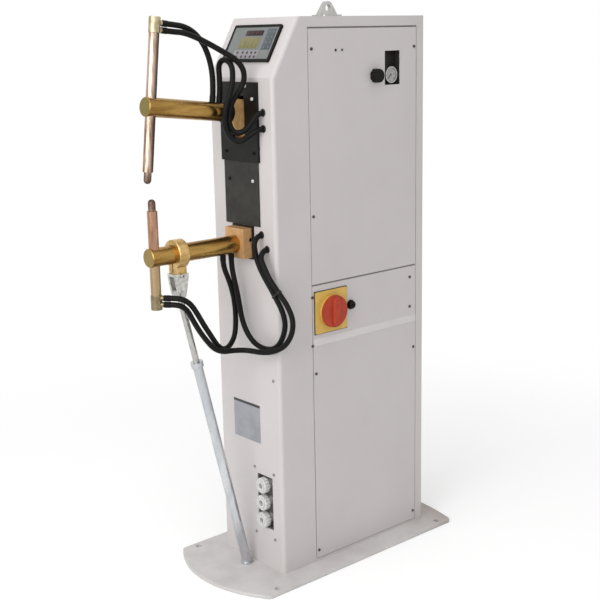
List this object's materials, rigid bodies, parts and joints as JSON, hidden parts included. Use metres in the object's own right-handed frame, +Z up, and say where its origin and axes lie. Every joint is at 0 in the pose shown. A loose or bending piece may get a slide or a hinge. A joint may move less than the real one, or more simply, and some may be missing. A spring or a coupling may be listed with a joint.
{
  "type": "rocker arm spot welder",
  "caption": "Floor-standing spot welder: sheet cabinet on a base plate, fixed lower arm on a strut and a rocking upper arm that an air cylinder closes onto the work.",
  "frame": {"origin": "on the floor, under the middle of the cabinet", "axes": "+Z up, arms point to -Y, the switch side of the cabinet is +X"},
  "size_m": [0.336, 0.7903, 1.293],
  "materials": {
    "coated_sheet": "fine textured light grey powder coat",
    "dark_board": "matt dark insulating board",
    "black_plastic": "moulded satin black",
    "keypad_film": "printed keypad film",
    "white_plastic": "moulded off-white",
    "bronze": "turned copper alloy, slightly tarnished",
    "copper": "drawn copper, dull",
    "zinc_steel": "zinc plated",
    "aluminium": "extruded, plain",
    "core_steel": "stacked laminations, varnished",
    "yellow_plastic": "moulded yellow",
    "red_plastic": "moulded red",
    "hose_rubber": "black reinforced water hose"
  },
  "bodies": {
    "frame": {"base_plate": "coated_sheet", "cabinet_shell": "coated_sheet", "right_upper_cover": "coated_sheet", "switch_panel": "coated_sheet", "right_lower_cover": "coated_sheet", "left_cover": "coated_sheet", "rear_cover": "coated_sheet", "lifting_eye": "coated_sheet", "mains_gland": "black_plastic", "upper_shield": "dark_board", "lower_shield": "dark_board", "control_bezel": "black_plastic", "control_membrane": "keypad_film", "connection_tray": "coated_sheet", "hose_couplings": "white_plastic", "block_insulator": "dark_board", "lower_arm_block": "bronze", "lower_arm": "bronze", "lower_arm_nozzles": "bronze", "lower_holder_head": "bronze", "lower_electrode_holder": "copper", "lower_electrode_tip": "copper", "arm_collar": "bronze", "strut_clevis": "zinc_steel", "strut_pin": "zinc_steel", "strut_rod": "zinc_steel", "strut_tube": "coated_sheet", "pivot_bracket": "zinc_steel", "pivot_pin": "zinc_steel", "inner_shelves": "zinc_steel", "air_cylinder": "aluminium", "air_valve": "black_plastic", "transformer_core": "core_steel", "transformer_coils": "copper", "flexible_band": "copper", "thyristor_module": "aluminium", "main_switch_plate": "yellow_plastic", "main_switch_body": "black_plastic", "fuse_holder": "black_plastic", "regulator_housing": "black_plastic", "gauge_case": "white_plastic", "upper_hose_head": "hose_rubber", "upper_hose_arm": "hose_rubber", "lower_hose_loop": "hose_rubber", "lower_hose_head": "hose_rubber", "lower_hose_arm": "hose_rubber"},
    "rocker": {"rocker_lever": "bronze", "pivot_bushes": "bronze", "arm_washer": "dark_board", "upper_arm": "bronze", "upper_arm_nozzles": "bronze", "upper_holder_head": "bronze", "upper_electrode_holder": "copper", "upper_electrode_tip": "copper", "upper_hose_loop": "hose_rubber"},
    "piston": {"piston_rod": "zinc_steel"},
    "switch_knob": {"main_switch_knob": "red_plastic"},
    "pressure_knob": {"regulator_knob": "black_plastic"},
    "needle": {"gauge_needle": "red_plastic"},
    "fuse_lid": {"fuse_cap": "black_plastic"}
  },
  "joints": [
    {"name": "rocker_swing", "type": "hinge", "parent": "frame", "child": "rocker", "pos_m": [0, -0.185, 0.983], "axis": [1, 0, 0], "range_deg": [0, 6.5], "deforming": ["flexible_band", "upper_hose_head", "upper_hose_arm"]},
    {"name": "rod_slide", "type": "slide", "parent": "frame", "child": "piston", "axis": [0, 0, 1], "range_m": [0, 0.0358]},
    {"name": "main_switch_turn", "type": "hinge", "parent": "frame", "child": "switch_knob", "pos_m": [0.113, -0.074, 0.609], "axis": [1, 0, 0], "range_deg": [-90, 0]},
    {"name": "pressure_knob_turn", "type": "hinge", "parent": "frame", "child": "pressure_knob", "pos_m": [0.11, 0.072, 1.127], "axis": [1, 0, 0], "range_deg": [-1440, 0]},
    {"name": "gauge_needle_turn", "type": "hinge", "parent": "frame", "child": "needle", "pos_m": [0.104, 0.128, 1.127], "axis": [1, 0, 0], "range_deg": [-270, 0]},
    {"name": "fuse_cap_turn", "type": "hinge", "parent": "frame", "child": "fuse_lid", "pos_m": [0.113, -0.012, 0.612], "axis": [1, 0, 0], "range_deg": [0, 45]}
  ],
  "couplings": [
    {"joint": "rod_slide", "follows": "rocker_swing", "m_per_rad": 0.315},
    {"joint": "gauge_needle_turn", "follows": "pressure_knob_turn", "ratio": 0.1875}
  ]
}
